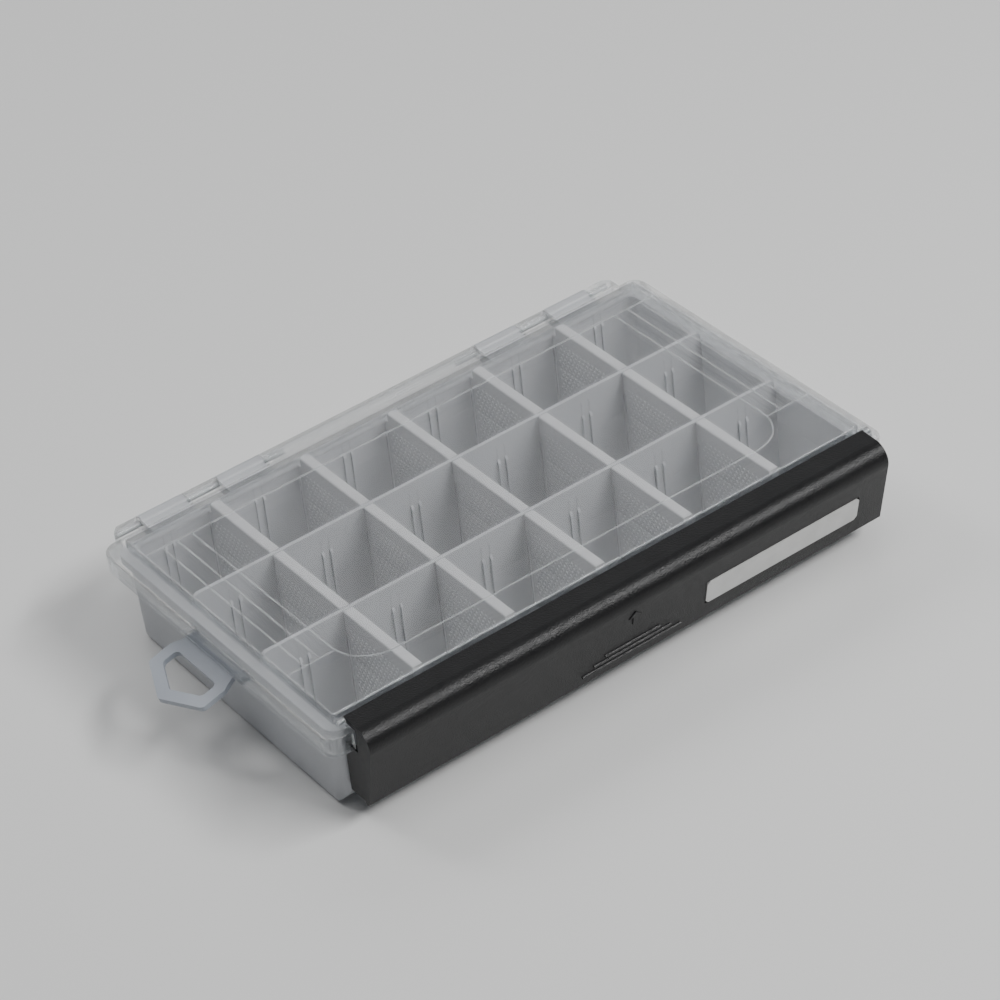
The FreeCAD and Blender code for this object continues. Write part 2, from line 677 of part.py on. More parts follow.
def lid_lugs(body):
    lugs = [("-middle_lug / 2", "middle_lug")]
    for start, length in (("side_lug_start", "side_lug"), ("end_lug_start", "end_lug")):
        lugs += [(start, length), ("-%s - %s" % (start, length), length)]
    for left, length in lugs:
        arm = new_sketch(body, "YZ_Plane", left)
        polygon(arm, [
            ("lid_width / 2 - skirt_wall", "flange_under"), ("lid_width / 2", "flange_under"),
            ("hinge_y - hinge_barrel", "hinge_z"), ("hinge_y", "hinge_z"),
            ("hinge_y", "flange_top"), ("lid_width / 2 - skirt_wall", "flange_top")])
        pad(body, arm, length)
        barrel = new_sketch(body, "YZ_Plane", left)
        circle(barrel, "hinge_y", "hinge_z", "hinge_barrel")
        pad(body, barrel, length)
    for end, along in (("hinge_end", False), ("-hinge_end", True)):
        bore = new_sketch(body, "YZ_Plane", end)
        circle(bore, "hinge_y", "hinge_z", "hinge_pin + pin_fit")
        pocket(body, bore, "hinge_end - middle_lug / 2 + pin_bite", along)
    corners = new_sketch(body, "XY_Plane", "flange_top + overrun")
    far_x, far_y = "(hinge_end + overrun)", "hinge_y + hinge_barrel + overrun"
    for sign in ("", "-"):
        polygon(corners, [
            (sign + "(hinge_end - end_lug_chamfer - overrun)", far_y), (sign + far_x, far_y),
            (sign + far_x, "hinge_y + hinge_barrel - end_lug_chamfer - overrun")])
    pocket(body, corners, "2 * (hinge_barrel + overrun)")


def lid_ears(body):
    """Ears on the flange hold the latch pins."""
    for left in ("latch_right + ear_gap", "latch_left - ear_gap - ear_width"):
        post = new_sketch(body, "YZ_Plane", left)
        rectangle(post, "latch_y - ear_radius", "-panel_width / 2 + panel_wall / 2", "flange_under", "latch_z")
        pad(body, post, "ear_width")
        head = new_sketch(body, "YZ_Plane", left)
        circle(head, "latch_y", "latch_z", "ear_radius")
        pad(body, head, "ear_width")
    bore = new_sketch(body, "YZ_Plane", "latch_right + ear_gap + ear_width + overrun")
    circle(bore, "latch_y", "latch_z", "latch_pin + pin_fit")
    pocket(body, bore, "latch_length + 2 * (ear_gap + ear_width + overrun)")


def lid_lines(body):
    """Low lines moulded on the panel: a middle field with a rounded front, and two end fields."""
    for inset, step in (("-line_width / 2", pad), ("line_width / 2", pocket)):
        side = "(field_length / 2 - (%s))" % inset
        top = "panel_top" if step is pad else "panel_top + line_height"
        outline = new_sketch(body, "XY_Plane", top)
        round_front_rectangle(outline, "-" + side, side, "-field_half_width + (%s)" % inset,
                              "field_half_width - (%s)" % inset, "field_corner - (%s)" % inset)
        step(body, outline, "line_height")
    inner = "field_length / 2"
    outer = "panel_length / 2 - panel_corner"
    half = "line_width / 2"
    strips = []
    for line in range(1, END_LINES + 1):
        place = "field_length / 2 + %d * end_line_pitch" % line
        strips.append((place + " - " + half, place + " + " + half, "-end_field_front", "field_half_width"))
    for place in ("-end_field_front", "field_half_width"):
        strips.append((inner, outer, place + " - " + half, place + " + " + half))
    for left, right, low, high in strips:
        sketch = new_sketch(body, "XY_Plane", "panel_top")
        rectangle(sketch, left, right, low, high)
        rectangle(sketch, "-(%s)" % right, "-(%s)" % left, low, high)
        pad(body, sketch, "line_height")


def make_lid():
    body = new_body("lid")
    lid_shell(body)
    lid_hollows(body)
    lid_lugs(body)
    lid_ears(body)
    lid_lines(body)
    return body


# Latch
def face_at(height):
    """Y of the latch's outer face at a height."""
    return "latch_foot_y - lean_share * (%s - latch_bottom)" % height


def latch_wall_profile(body):
    profile = new_sketch(body, "YZ_Plane", "latch_left")
    inner_y, inner_z = "crown_y + inner_crown_in", "crown_z - inner_crown_down"
    polygon(profile, [
        ("latch_y", "flap_top"), ("crown_y", "crown_z"),
        ("latch_foot_y", "latch_bottom"), ("latch_foot_y + latch_wall", "latch_bottom"),
        (inner_y, inner_z), ("latch_y", "flap_top - latch_wall")])
    pad(body, profile, "latch_length")
    round_edges(body, along_length_at(size("crown_y"), size("crown_z")), "crown_round")
    round_edges(body, along_length_at(size(inner_y), size(inner_z)), "crown_round - latch_wall")
    round_edges(body, along_length_at(size("latch_foot_y"), size("latch_bottom")), "latch_edge_round")
    barrel = new_sketch(body, "YZ_Plane", "latch_left")
    circle(barrel, "latch_y", "latch_z", "latch_barrel")
    pad(body, barrel, "latch_length")


def latch_cheeks(body):
    """End plates, notched to pass round the lid's skirt."""
    share_in, share_down = CHEEK_ROLL_SHARES
    for left in ("latch_left", "latch_right - latch_wall"):
        cheek = new_sketch(body, "YZ_Plane", left)
        polygon(cheek, [
            (face_at("cheek_bottom") + " + latch_wall / 2", "cheek_bottom"),
            ("cheek_inner", "cheek_bottom"), ("cheek_inner", "cheek_top"), ("cheek_notch", "cheek_top"),
            ("cheek_notch", "flap_top - latch_wall / 2 - flap_share * (latch_y - cheek_notch)"),
            ("crown_y + %s * crown_round" % share_in, "crown_z - %s * crown_round" % share_down),
            (face_at("(crown_z - crown_round)") + " + latch_wall / 2", "crown_z - crown_round")])
        pad(body, cheek, "latch_wall")


def latch_catch(body):
    """A lip inside the face, under the front ledge of the tray."""
    lip = new_sketch(body, "YZ_Plane", "-catch_length / 2")
    polygon(lip, [
        (face_at("catch_top") + " + latch_wall / 2", "catch_top"), ("catch_edge", "catch_top"),
        ("catch_edge", "catch_top - catch_tip"),
        (face_at("(catch_top - catch_rise)") + " + latch_wall / 2", "catch_top - catch_rise")])
    pad(body, lip, "catch_length")


def latch_grips(body):
    for k in range(GRIPS):
        low = "(grip_low + %d * grip_pitch)" % k
        high = "(%s + grip_height)" % low
        slope = "(%s - grip_slope)" % high
        length = "(grip_longest - %d * grip_step)" % k
        ridge = new_sketch(body, "YZ_Plane", "-%s / 2" % length)
        polygon(ridge, [
            (face_at(low) + " + latch_wall / 2", low), (face_at(low) + " - grip_rise", low),
            (face_at(slope) + " - grip_rise", slope), (face_at(high), high),
            (face_at(high) + " + latch_wall / 2", high)])
        pad(body, ridge, length)


def latch_cuts(body):
    recess = new_sketch(body, "YZ_Plane", "label_left + label_length")
    polygon(recess, [
        (face_at("label_bottom") + " + label_sunk", "label_bottom"),
        (face_at("label_bottom") + " - overrun", "label_bottom"),
        (face_at("label_top") + " - overrun", "label_top"),
        (face_at("label_top") + " + label_sunk", "label_top")])
    pocket(body, recess, "label_length")
    for end, along in (("latch_right", False), ("latch_left", True)):
        bore = new_sketch(body, "YZ_Plane", end)
        circle(bore, "latch_y", "latch_z", "latch_pin + pin_fit")
        pocket(body, bore, "latch_pin_bite + ear_gap", along)


def make_latch():
    body = new_body("latch")
    latch_wall_profile(body)
    latch_cheeks(body)
    latch_catch(body)
    latch_grips(body)
    latch_cuts(body)
    return body


def make_label():
    body = new_body("label_strip")
    low, high = "(label_bottom + label_fit)", "(label_top - label_fit)"
    section = new_sketch(body, "YZ_Plane", "label_left + label_fit")
    polygon(section, [
        (face_at(low) + " + label_sunk", low), (face_at(low) + " + label_sunk - label_thickness", low),
        (face_at(high) + " + label_sunk - label_thickness", high), (face_at(high) + " + label_sunk", high)])
    pad(body, section, "label_length - 2 * label_fit")

    def through_thickness(edge):
        return near(edge.BoundBox.XLength, 0) and near(edge.BoundBox.ZLength, 0)
    chamfer_edges(body, through_thickness, "label_corner")
    return body


# Hanging loop, drawn level about its own axis and then let down
def make_loop():
    body = new_body("hang_loop")
    band = new_sketch(body, "XY_Plane", "-loop_thickness / 2")
    outer = [("0", "loop_root_width / 2"), ("loop_flare_start", "loop_root_width / 2"),
             ("loop_root_band", "loop_width / 2"), ("loop_shoulder", "loop_width / 2")]
    inner = [("loop_root_band", "loop_hole_side"), ("loop_hole_shoulder", "loop_hole_side")]
    for points, tip in ((outer, "loop_reach"), (inner, "loop_hole_reach")):
        one_side = [("-" + out, across) for out, across in points]
        other_side = [("-" + out, "-" + across) for out, across in reversed(points)]
        polygon(band, one_side + [("-" + tip, "0")] + other_side)
    pad(body, band, "loop_thickness")
    half, hole = size("loop_width / 2"), size("loop_hole_side")
    outer_x = [size("loop_shoulder"), size("loop_reach")]
    inner_x = [size("loop_root_band"), size("loop_hole_shoulder"), size("loop_hole_reach")]
    round_edges(body, upright_at([size("loop_root_band")], [half, -half]), "2 * loop_corner")
    round_edges(body, upright_at(outer_x, [half, 0, -half]), "loop_corner")
    round_edges(body, upright_at(inner_x, [hole, 0, -hole]), "loop_corner")
    for reach, radius in (("loop_root_width / 2", "loop_barrel"),
                          ("loop_ear_start + loop_ear_width", "loop_stub")):
        rod = new_sketch(body, "XZ_Plane", "-(%s)" % reach)
        circle(rod, "0", "0", radius)
        pad(body, rod, "2 * (%s)" % reach)
    body.Placement.Rotation = FreeCAD.Rotation(FreeCAD.Vector(0, 1, 0), 0)
    bind(body, "Placement.Base.x", "loop_x")
    bind(body, "Placement.Base.y", "loop_middle")
    bind(body, "Placement.Base.z", "loop_z")
    bind(body, "Placement.Rotation.Angle", "-loop_droop")
    doc.recompute()
    return body


# Pins
def make_pin(label, left, length, radius, deep, height):
    pin = doc.addObject("Part::Cylinder", label)
    pin.Label = label
    pin.Placement.Rotation = FreeCAD.Rotation(FreeCAD.Vector(0, 1, 0), 90)
    bind(pin, "Radius", radius)
    bind(pin, "Height", length)
    bind(pin, "Placement.Base.x", left)
    bind(pin, "Placement.Base.y", deep)
    bind(pin, "Placement.Base.z", height)
    return pin


def make_pins():
    inner = "(middle_lug / 2 - pin_bite + pin_fit)"
    length = "(hinge_end - pin_end_inset - %s)" % inner
    reach = "(latch_pin_bite + ear_gap + ear_width)"
    return [
        make_pin("hinge_pin_left", "-%s - %s" % (inner, length), length, "hinge_pin", "hinge_y", "hinge_z"),
        make_pin("hinge_pin_right", inner, length, "hinge_pin", "hinge_y", "hinge_z"),
        make_pin("latch_pin_left", "latch_left + latch_pin_bite - " + reach, reach, "latch_pin", "latch_y",
                 "latch_z"),
        make_pin("latch_pin_right", "latch_right - latch_pin_bite", reach, "latch_pin", "latch_y", "latch_z"),
    ]


def check_and_write(pieces):
    doc.recompute()
    for thing in doc.Objects:
        if "Invalid" in thing.State or "Error" in thing.State:
            raise RuntimeError("%s (%s) failed" % (thing.Name, thing.Label))
    for piece in pieces:
        shape = piece.Shape
        if shape.isNull() or not shape.isValid() or len(shape.Solids) != 1:
            raise RuntimeError("%s isn't one valid solid" % piece.Label)
    os.makedirs("parts", exist_ok=True)
    for piece in pieces:
        piece.Shape.exportStep("parts/%s.step" % piece.Label)
        print("%-18s %9.1f mm3" % (piece.Label, piece.Shape.Volume))


def main():
    fill_sheet()
    pieces = [make_tray(), make_lid(), make_latch(), make_label(), make_loop()]
    pieces += make_pins()
    pieces += [make_divider(row, column) for row in range(len(ROWS)) for column in range(COLUMNS)]
    check_and_write(pieces)


main()
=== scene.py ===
# %% [markdown]
# A compartment tackle box. The solids come packed from the CAD step, in metres: +X runs along the
# length, -Y points to the latch, +Z is up, and the box lies on the floor at z = 0. This script gives
# the solids their plastics, adds the small moulded details, and sets up the light and the camera.

# %% Load the box
import bpy
import bmesh
import math
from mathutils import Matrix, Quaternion, Vector


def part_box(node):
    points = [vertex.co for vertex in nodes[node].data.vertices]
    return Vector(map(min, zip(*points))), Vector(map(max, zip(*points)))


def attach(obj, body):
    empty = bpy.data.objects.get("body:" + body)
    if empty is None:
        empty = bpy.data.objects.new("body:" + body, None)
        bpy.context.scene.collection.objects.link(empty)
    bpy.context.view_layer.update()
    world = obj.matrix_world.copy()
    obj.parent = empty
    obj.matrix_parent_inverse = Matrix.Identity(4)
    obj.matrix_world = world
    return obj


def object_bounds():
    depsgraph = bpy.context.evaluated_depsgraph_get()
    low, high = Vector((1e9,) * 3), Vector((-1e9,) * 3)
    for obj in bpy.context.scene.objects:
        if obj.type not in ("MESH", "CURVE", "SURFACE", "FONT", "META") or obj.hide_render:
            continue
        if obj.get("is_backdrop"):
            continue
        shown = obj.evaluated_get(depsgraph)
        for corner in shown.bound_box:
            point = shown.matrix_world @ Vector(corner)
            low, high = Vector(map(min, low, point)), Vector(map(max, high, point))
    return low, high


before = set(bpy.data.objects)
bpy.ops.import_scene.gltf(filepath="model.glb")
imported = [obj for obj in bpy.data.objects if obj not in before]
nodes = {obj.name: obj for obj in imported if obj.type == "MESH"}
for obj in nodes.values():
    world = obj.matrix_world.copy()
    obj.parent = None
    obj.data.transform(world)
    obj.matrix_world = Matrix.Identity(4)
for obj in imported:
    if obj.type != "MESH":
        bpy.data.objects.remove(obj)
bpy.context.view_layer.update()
MM = 0.001

# %% [markdown]
# The camera stands in front of the box and to its left, and looks down on the lid. It could be aimed by
# eye. Here its place and angles were solved from the straight edges of the box in the photograph, so
# the same edges fall in the same places. The lens is long, so parallel edges stay nearly parallel.

# %% Camera
CAMERA_PLACE = Vector((-0.53572, -0.82994, 0.78180))
LOOK_TURN = math.radians(32.933)
LOOK_DOWN = math.radians(37.121)
CAMERA_ROLL = math.radians(-6.682)
LENS_MM = 131.09
SENSOR_MM = 36.0
NEAREST = 0.05

look = Vector((math.sin(LOOK_TURN) * math.cos(LOOK_DOWN),
               math.cos(LOOK_TURN) * math.cos(LOOK_DOWN),
               -math.sin(LOOK_DOWN)))
camera = bpy.data.objects.new("camera", bpy.data.cameras.new("camera"))
bpy.context.scene.collection.objects.link(camera)
camera.data.lens = LENS_MM
camera.data.sensor_width = SENSOR_MM
camera.data.clip_start = NEAREST
camera.location = CAMERA_PLACE
camera.rotation_mode = "QUATERNION"
camera.rotation_quaternion = look.to_track_quat("-Z", "Y") @ Quaternion((0, 0, 1), CAMERA_ROLL)
bpy.context.scene.camera = camera
print("camera lens in mm:", round(camera.data.lens, 2))

# %% [markdown]
# The floor is a plain pale studio table. A backdrop that sweeps up behind the box would do as well, but
# from this height the camera sees only floor, so one large square is enough. It belongs to the stage,
# not to the box.

# %% Floor
FLOOR_HALF = 4.0
FLOOR_CORNERS = ((-1, -1), (1, -1), (1, 1), (-1, 1))
FLOOR_COLOUR = (0.78, 0.78, 0.77, 1)
FLOOR_ROUGHNESS = 0.4

floor_mesh = bpy.data.meshes.new("floor")
floor_mesh.from_pydata([(x * FLOOR_HALF, y * FLOOR_HALF, 0) for x, y in FLOOR_CORNERS], [], [(0, 1, 2, 3)])
floor = bpy.data.objects.new("floor", floor_mesh)
bpy.context.scene.collection.objects.link(floor)
floor_finish = bpy.data.materials.new("pale_floor")
floor_finish.use_nodes = True
floor_shader = floor_finish.node_tree.nodes["Principled BSDF"]
floor_shader.inputs["Base Color"].default_value = FLOOR_COLOUR
floor_shader.inputs["Roughness"].default_value = FLOOR_ROUGHNESS
floor_mesh.materials.append(floor_finish)
floor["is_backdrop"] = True
print("floor side in m:", 2 * FLOOR_HALF)

# %% [markdown]
# Clear plastic shows mostly by what its edges mirror, and black plastic by one long highlight. Small
# lamps would give hard shadows and tiny glints, so every lamp is a soft box. A long, bright one in
# front of the latch draws the highlight along its roll, and one behind the left end lights the rim
# there. A wide box overhead fills the compartments. A wide, dim panel behind the box lifts the flat top
# of the latch, which would mirror nothing otherwise. Each entry gives a lamp's place, width and height
# in metres, and its watts.

# %% Light
SOFT_BOXES = {"latch_box": ((0.70, -0.90, 1.22), 1.1, 0.2, 24),
              "end_box": ((-0.5, 1.0, 1.05), 0.3, 0.6, 5),
              "overhead_box": ((-0.2, -0.1, 1.6), 0.9, 0.9, 6),
              "back_panel": ((0.69, 1.07, 0.97), 1.6, 1.0, 4)}
SKY_COLOUR = (0.9, 0.93, 1.0, 1)
SKY_STRENGTH = 0.12


def soft_box(name, place, width, height, watts):
    lamp = bpy.data.lights.new(name, "AREA")
    lamp.shape = "RECTANGLE"
    lamp.size = width
    lamp.size_y = height
    lamp.energy = watts
    holder = bpy.data.objects.new(name, lamp)
    holder.location = place
    holder.rotation_mode = "QUATERNION"
    holder.rotation_quaternion = (-Vector(place)).to_track_quat("-Z", "Y")
    bpy.context.scene.collection.objects.link(holder)


for box_name, settings in SOFT_BOXES.items():
    soft_box(box_name, *settings)
sky = bpy.data.worlds.new("studio")
sky.use_nodes = True
sky.node_tree.nodes["Background"].inputs["Color"].default_value = SKY_COLOUR
sky.node_tree.nodes["Background"].inputs["Strength"].default_value = SKY_STRENGTH
bpy.context.scene.world = sky

# %% [markdown]
# Moulded plastic is never one flat colour. A slow noise makes it a little cloudy, and a fine one breaks
# up the gloss. Pictures of plastic could do this, but noise nodes need no files and show no seams. They
# read Object coordinates, which are metres here, so a noise scale of 1000 means about one patch per
# millimetre.

# %% Helpers for finishes
NOISE_LOW = 0.3
NOISE_HIGH = 0.7
DETAIL_FINE = 2
DETAIL_CLOUDY = 3
DETAIL_SCUFFED = 4


def new_finish(name):
    finish = bpy.data.materials.new(name)
    finish.use_nodes = True
    return finish, finish.node_tree, finish.node_tree.nodes["Principled BSDF"]


def place_noise(tree, scale, detail, stretch=(1, 1, 1)):
    coordinates = tree.nodes.new("ShaderNodeTexCoord")
    mapping = tree.nodes.new("ShaderNodeMapping")
    mapping.inputs["Scale"].default_value = stretch
    noise = tree.nodes.new("ShaderNodeTexNoise")
    noise.inputs["Scale"].default_value = scale
    noise.inputs["Detail"].default_value = detail
    tree.links.new(coordinates.outputs["Object"], mapping.inputs["Vector"])
    tree.links.new(mapping.outputs["Vector"], noise.inputs["Vector"])
    return noise


def shade_between(tree, noise, dark, light, target):
    ramp = tree.nodes.new("ShaderNodeValToRGB")
    ramp.color_ramp.elements[0].position = NOISE_LOW
    ramp.color_ramp.elements[1].position = NOISE_HIGH
    ramp.color_ramp.elements[0].color = (*dark, 1)
    ramp.color_ramp.elements[1].color = (*light, 1)
    tree.links.new(noise.outputs["Fac"], ramp.inputs["Fac"])
    tree.links.new(ramp.outputs["Color"], target)


def range_between(tree, noise, limits, target):
    spread = tree.nodes.new("ShaderNodeMapRange")
    spread.inputs["From Min"].default_value = NOISE_LOW
    spread.inputs["From Max"].default_value = NOISE_HIGH
    spread.inputs["To Min"].default_value = limits[0]
    spread.inputs["To Max"].default_value = limits[1]
    tree.links.new(noise.outputs["Fac"], spread.inputs["Value"])
    tree.links.new(spread.outputs["Result"], target)


def roughen(tree, shader, noise, strength, depth):
    bump = tree.nodes.new("ShaderNodeBump")
    bump.inputs["Strength"].default_value = strength
    bump.inputs["Distance"].default_value = depth
    tree.links.new(noise.outputs["Fac"], bump.inputs["Height"])
    tree.links.new(bump.outputs["Normal"], shader.inputs["Normal"])


print("noise is read between", NOISE_LOW, "and", NOISE_HIGH)

# %% [markdown]
# The tray, the dividers and the hanging loop are milky polypropylene: light goes in, scatters and comes
# out soft. True scattering in such thin walls needs many samples, so a rough shader that lets part of
# the light through stands in for it. The dots on the dividers let the least through, and they get a
# lighter copy of the divider's plastic, a painted highlight, so that they show pale on their plates.
# The loop gets a darker copy of the same plastic, which is painted shade.

# %% Milky plastic
MILKY_CLOUD_SCALE = 45
MILKY_GLOSS_SCALE = 900
MILKY_GRAIN_SCALE = 1600
MILKY_ROUGHNESS = (0.34, 0.46)
MILKY_BUMP_STRENGTH = 0.06
MILKY_BUMP_DEPTH = 0.2 * MM
MILKY_IOR = 1.49


def milky_plastic(name, dark, light, passing):
    finish, tree, shader = new_finish(name)
    cloud = place_noise(tree, MILKY_CLOUD_SCALE, DETAIL_CLOUDY)
    gloss = place_noise(tree, MILKY_GLOSS_SCALE, DETAIL_FINE)
    grain = place_noise(tree, MILKY_GRAIN_SCALE, DETAIL_FINE)
    shade_between(tree, cloud, dark, light, shader.inputs["Base Color"])
    range_between(tree, gloss, MILKY_ROUGHNESS, shader.inputs["Roughness"])
    roughen(tree, shader, grain, MILKY_BUMP_STRENGTH, MILKY_BUMP_DEPTH)
    shader.inputs["Transmission Weight"].default_value = passing
    shader.inputs["IOR"].default_value = MILKY_IOR
    return finish


tray_finish = milky_plastic("milky_tray", passing=0.35,
                            dark=(0.62, 0.635, 0.66), light=(0.68, 0.695, 0.72))
divider_finish = milky_plastic("milky_divider", passing=0.3,
                               dark=(0.68, 0.69, 0.71), light=(0.74, 0.75, 0.77))
# The dots are the divider's plastic made lighter: a painted highlight.
dot_painted_highlight_finish = milky_plastic("milky_dots_painted_highlight", passing=0.1,
                           dark=(0.74, 0.75, 0.77), light=(0.78, 0.79, 0.81))
# The loop is the tray's plastic made darker: painted shade.
loop_painted_shade_finish = milky_plastic("milky_loop", passing=0.15,
                            dark=(0.36, 0.39, 0.44), light=(0.42, 0.45, 0.50))
print("milky finishes:", [f.name for f in (tray_finish, divider_finish, dot_painted_highlight_finish, loop_painted_shade_finish)])

# %% [markdown]
# On a real clear lid every edge and raised line gathers light and shows as a pale thread, and upright
# walls look greyer than the flat panel. Here both are painted into the material: the edges as a pale,
# nearly opaque painted highlight, the walls as a painted grey shade. The lid is one solid, so the
# material has to find these places by itself. A Bevel node finds the edges: near one, the softened
# normal departs from the true one. The true normal, turned into the lid's own directions, tells walls
# from flats, also when the lid is open.

# %% Masks for the lid
EDGE_REACH = 0.19 * MM
EDGE_SAMPLES = 6
EDGE_LIMITS = (0.99, 0.9)
WALL_LIMITS = (0.9, 0.5)


def falling_mask(tree, value, limits):
    size = tree.nodes.new("ShaderNodeMath")
    size.operation = "ABSOLUTE"
    tree.links.new(value, size.inputs[0])
    mask = tree.nodes.new("ShaderNodeMapRange")
    mask.inputs["From Min"].default_value = limits[0]
    mask.inputs["From Max"].default_value = limits[1]
    tree.links.new(size.outputs["Value"], mask.inputs["Value"])
    return mask.outputs["Result"]


def edge_mask(tree):
    soft = tree.nodes.new("ShaderNodeBevel")
    soft.samples = EDGE_SAMPLES
    soft.inputs["Radius"].default_value = EDGE_REACH
    true = tree.nodes.new("ShaderNodeNewGeometry")
    agree = tree.nodes.new("ShaderNodeVectorMath")
    agree.operation = "DOT_PRODUCT"
    tree.links.new(soft.outputs["Normal"], agree.inputs[0])
    tree.links.new(true.outputs["True Normal"], agree.inputs[1])
    return falling_mask(tree, agree.outputs["Value"], EDGE_LIMITS)


def wall_mask(tree):
    true = tree.nodes.new("ShaderNodeNewGeometry")
    local = tree.nodes.new("ShaderNodeVectorTransform")
    local.vector_type = "NORMAL"
    local.convert_from = "WORLD"
    local.convert_to = "OBJECT"
    tree.links.new(true.outputs["True Normal"], local.inputs["Vector"])
    parts = tree.nodes.new("ShaderNodeSeparateXYZ")
    tree.links.new(local.outputs["Vector"], parts.inputs["Vector"])
    return falling_mask(tree, parts.outputs["Z"], WALL_LIMITS)


def where_masked(tree, mask, plain, masked):
    spread = tree.nodes.new("ShaderNodeMapRange")
    if isinstance(plain, float):
        spread.inputs["To Min"].default_value = plain
    else:
        tree.links.new(plain, spread.inputs["To Min"])
    spread.inputs["To Max"].default_value = masked
    tree.links.new(mask, spread.inputs["Value"])
    return spread.outputs["Result"]


print("edge reach in mm:", round(EDGE_REACH / MM, 2))

# %% [markdown]
# The lid is clear styrene. Pure refraction would keep the lamps' light out of the compartments, so
# plain see-through is mixed in by the alpha: much on the flat panel, less on the walls, hardly any on
# the edges, which are painted pale as a highlight. A grey painted shade on the walls makes the rim
# stand out from the pale floor.

# %% Clear plastic
LID_CLOUD_SCALE = 60
LID_DARK = (0.955, 0.97, 0.975)
LID_LIGHT = (0.975, 0.985, 0.99)
# A painted grey shade for the upright walls of the lid.
LID_WALL_PAINTED_SHADE = (0.56, 0.59, 0.61, 1)
LID_GLOSS_SCALE = 260
LID_ROUGHNESS = (0.01, 0.035)
LID_IOR = 1.5
FLAT_ALPHA = 0.16
WALL_ALPHA = 0.6
# Near the edges the lid turns nearly opaque and pale: a painted highlight.
EDGE_ALPHA = 0.95
FLAT_PASSING = 1.0
EDGE_PASSING = 0.05


def clear_plastic(name):
    finish, tree, shader = new_finish(name)
    edges = edge_mask(tree)
    walls = wall_mask(tree)
    wall_painted_shade = tree.nodes.new("ShaderNodeMixRGB")
    wall_painted_shade.blend_type = "MULTIPLY"
    wall_painted_shade.inputs["Color2"].default_value = LID_WALL_PAINTED_SHADE
    # The walls take the painted grey shade, and the edges are left out of it.
    tree.links.new(where_masked(tree, edges, plain=walls, masked=0.0), wall_painted_shade.inputs["Fac"])
    cloud = place_noise(tree, LID_CLOUD_SCALE, DETAIL_CLOUDY)
    gloss = place_noise(tree, LID_GLOSS_SCALE, DETAIL_CLOUDY)
    shade_between(tree, cloud, LID_DARK, LID_LIGHT, wall_painted_shade.inputs["Color1"])
    tree.links.new(wall_painted_shade.outputs["Color"], shader.inputs["Base Color"])
    range_between(tree, gloss, LID_ROUGHNESS, shader.inputs["Roughness"])
    alpha = where_masked(tree, walls, plain=FLAT_ALPHA, masked=WALL_ALPHA)
    passing = where_masked(tree, edges, plain=FLAT_PASSING, masked=EDGE_PASSING)
    # Nearly opaque, pale edges paint the highlight along every edge and line.
    tree.links.new(where_masked(tree, edges, plain=alpha, masked=EDGE_ALPHA), shader.inputs["Alpha"])
    tree.links.new(passing, shader.inputs["Transmission Weight"])
    shader.inputs["IOR"].default_value = LID_IOR
    return finish


lid_finish = clear_plastic("clear_lid")
print("clear finish:", lid_finish.name)

# %% [markdown]
# The latch is black plastic from a spark-eroded mould, which leaves a fine, even grain. As geometry the
# grain would take millions of faces, so it is a bump, about two patches to the millimetre. It spreads
# the highlight along the roll and breaks it up.

# %% Black grained plastic
LATCH_CLOUD_SCALE = 120
LATCH_DARK = (0.003, 0.003, 0.0035)
LATCH_LIGHT = (0.006, 0.006, 0.0065)
LATCH_GLOSS_SCALE = 500
LATCH_ROUGHNESS = (0.30, 0.38)
LATCH_GRAIN_SCALE = 2000
LATCH_GRAIN_STRENGTH = 0.45
LATCH_GRAIN_DEPTH = 0.4 * MM
LATCH_SPECULAR = 0.34


def grained_plastic(name):
    finish, tree, shader = new_finish(name)
    cloud = place_noise(tree, LATCH_CLOUD_SCALE, DETAIL_CLOUDY)
    gloss = place_noise(tree, LATCH_GLOSS_SCALE, DETAIL_FINE)
    grain = place_noise(tree, LATCH_GRAIN_SCALE, DETAIL_FINE)
    shade_between(tree, cloud, LATCH_DARK, LATCH_LIGHT, shader.inputs["Base Color"])
    range_between(tree, gloss, LATCH_ROUGHNESS, shader.inputs["Roughness"])
    roughen(tree, shader, grain, LATCH_GRAIN_STRENGTH, LATCH_GRAIN_DEPTH)
    shader.inputs["Specular IOR Level"].default_value = LATCH_SPECULAR
    return finish


latch_finish = grained_plastic("black_latch")
print("grained finish:", latch_finish.name)

# %% [markdown]
# The writing strip is smooth and pale, with faint scuffs. The pins are natural plastic rod, drawn
# lengthwise, so their faint streaks run along the rod. A noise squeezed along X gives the streaks
# without any drawing.

# %% Strip and pins
STRIP_SCUFF_SCALE = 160
STRIP_DARK = (0.54, 0.54, 0.53)
STRIP_LIGHT = (0.60, 0.60, 0.59)
STRIP_GLOSS_SCALE = 700
STRIP_ROUGHNESS = (0.38, 0.52)
ROD_STREAK_SCALE = 1500
ROD_STRETCH = (0.02, 1, 1)
ROD_DARK = (0.78, 0.80, 0.81)
ROD_LIGHT = (0.86, 0.87, 0.88)
ROD_ROUGHNESS = (0.25, 0.4)
ROD_PASSING = 0.6


def strip_plastic(name):
    finish, tree, shader = new_finish(name)
    scuffs = place_noise(tree, STRIP_SCUFF_SCALE, DETAIL_SCUFFED)
    gloss = place_noise(tree, STRIP_GLOSS_SCALE, DETAIL_CLOUDY)
    shade_between(tree, scuffs, STRIP_DARK, STRIP_LIGHT, shader.inputs["Base Color"])
    range_between(tree, gloss, STRIP_ROUGHNESS, shader.inputs["Roughness"])
    return finish


